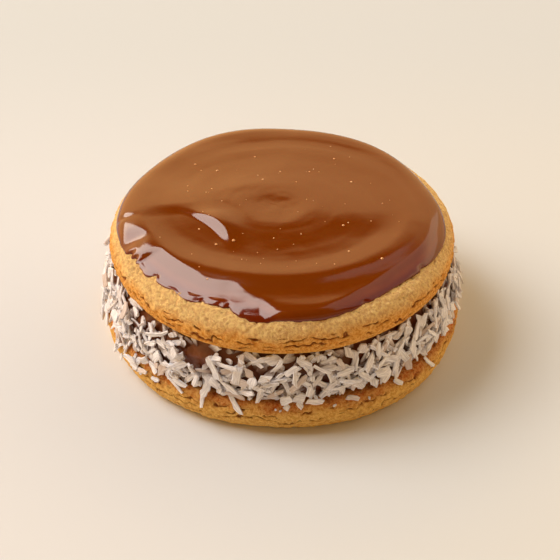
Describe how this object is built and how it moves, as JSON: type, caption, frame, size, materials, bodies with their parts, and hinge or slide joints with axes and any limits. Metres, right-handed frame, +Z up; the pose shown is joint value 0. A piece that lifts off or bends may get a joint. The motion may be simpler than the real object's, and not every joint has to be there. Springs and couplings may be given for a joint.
{
  "type": "alfajor cookie",
  "caption": "Round sandwich biscuit: baked biscuits round a dulce de leche filling rolled in coconut, with a glossy caramel top.",
  "frame": {"origin": "on the surface the biscuit rests on, at the centre of its outline's box", "axes": "+Z up through the layers; -Y faces the viewer who sees the caramel's long left highlight and the open patch of filling"},
  "size_m": [0.07, 0.0696, 0.0256],
  "materials": {
    "baked_biscuit": "matt, sandy baked dough",
    "dulce_de_leche": "sticky soft gloss",
    "coconut": "dry, matt flakes",
    "caramel": "high gloss"
  },
  "bodies": {
    "root": {"biscuit_bottom": "baked_biscuit", "biscuit_top": "baked_biscuit", "filling": "dulce_de_leche", "coconut_band": "coconut", "caramel_top": "caramel"}
  },
  "joints": []
}
